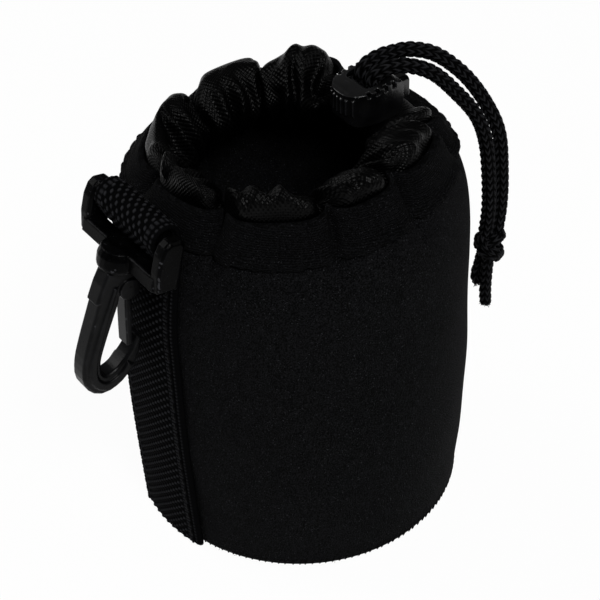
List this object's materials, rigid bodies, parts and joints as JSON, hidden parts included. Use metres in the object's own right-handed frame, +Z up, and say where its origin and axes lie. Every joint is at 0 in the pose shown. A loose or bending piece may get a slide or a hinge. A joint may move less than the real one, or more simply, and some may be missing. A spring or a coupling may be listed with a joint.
{
  "type": "drawstring lens pouch",
  "caption": "Soft padded drawstring pouch for a camera lens, with a gathered nylon mouth, a sprung cord lock on its knotted drawcord and a swivel snap hook hung from a webbing strap.",
  "frame": {"origin": "middle of the underside of the base panel", "axes": "+Z up through the mouth; +X towards the cord lock; -X towards the webbing strap and its hook"},
  "size_m": [0.1261, 0.09, 0.1232],
  "materials": {
    "neoprene": "black knit face on foam rubber",
    "nylon": "black plain-weave nylon with a slight sheen",
    "cord": "black braided cord",
    "webbing": "black coarse woven webbing",
    "plastic": "black moulded plastic, satin",
    "spring": "plain steel wire"
  },
  "bodies": {
    "pouch": {"base_panel": "neoprene", "wall_panel": "neoprene", "collar_band": "neoprene", "mouth_casing": "nylon", "drawcord_run": "cord", "drawcord_strand_upper": "cord", "drawcord_strand_lower": "cord", "drawcord_knot": "cord", "drawcord_tail_long": "cord", "drawcord_tail_short": "cord", "lock_body": "plastic", "lock_spring": "spring", "webbing_strap": "webbing"},
    "lock_button": {"lock_plunger": "plastic"},
    "hook_frame": {"hook_frame": "plastic"},
    "hook": {"hook_body": "plastic"},
    "gate": {"hook_gate": "plastic"}
  },
  "joints": [
    {"name": "plunger_press", "type": "slide", "parent": "pouch", "child": "lock_button", "axis": [-1, 0, 0], "range_m": [0, 0.0024], "stiffness_N_per_m": 600, "springref_m": -0.002, "deforming": ["lock_spring"]},
    {"name": "hook_swing", "type": "hinge", "parent": "pouch", "child": "hook_frame", "pos_m": [-0.045, 0, 0.1065], "axis": [0, 1, 0], "range_deg": [0, 100]},
    {"name": "hook_swivel", "type": "hinge", "parent": "hook_frame", "child": "hook", "pos_m": [-0.05141, 0, 0.09559], "axis": [0.2079, 0, 0.9781], "continuous": true},
    {"name": "gate_flex", "type": "hinge", "parent": "hook", "child": "gate", "pos_m": [-0.05038, 0, 0.08842], "axis": [0, 1, 0], "range_deg": [0, 22], "stiffness_Nm_per_rad": 0.08, "springref_deg": -8.59}
  ]
}
